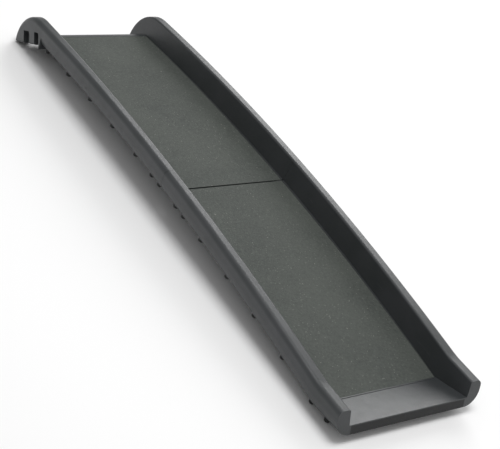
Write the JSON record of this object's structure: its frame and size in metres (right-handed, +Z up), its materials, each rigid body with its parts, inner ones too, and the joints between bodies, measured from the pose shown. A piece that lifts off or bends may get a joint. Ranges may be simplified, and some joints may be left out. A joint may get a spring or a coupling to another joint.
{
  "type": "folding dog ramp",
  "caption": "Two-part folding pet ramp with raised side rails, a grippy walking surface, a ground lip and a rounded sill end, joined by a pinned hinge across its middle.",
  "frame": {"origin": "middle of the unfolded ramp's outline on the floor it rests on", "axes": "+Z up, +Y from the ground end to the sill end along the ramp, +X across it"},
  "size_m": [0.4, 1.535, 0.13],
  "materials": {
    "moulding": "fine satin",
    "tread": "gritty",
    "cap": "matt",
    "rubber": "matt",
    "pin_steel": "zinc plated",
    "bush_nylon": "natural nylon"
  },
  "bodies": {
    "lower_half": {"lower_deck": "moulding", "lower_tread": "tread", "lower_end_cap_left": "cap", "lower_end_cap_right": "cap", "lower_knobs_left": "rubber", "lower_knobs_right": "rubber", "hinge_pin_left": "pin_steel", "hinge_pin_right": "pin_steel", "hinge_clip_left": "pin_steel", "hinge_clip_right": "pin_steel", "ground_strip": "rubber"},
    "upper_half": {"upper_deck": "moulding", "upper_tread": "tread", "upper_end_cap_left": "cap", "upper_end_cap_right": "cap", "upper_knobs_left": "rubber", "upper_knobs_right": "rubber", "hinge_bush_left": "bush_nylon", "hinge_bush_right": "bush_nylon", "sill_pad": "rubber"}
  },
  "joints": [
    {"name": "fold", "type": "hinge", "parent": "lower_half", "child": "upper_half", "pos_m": [0, -0.00568, 0.04778], "axis": [-1, 0, 0], "range_deg": [0, 174.5]}
  ]
}
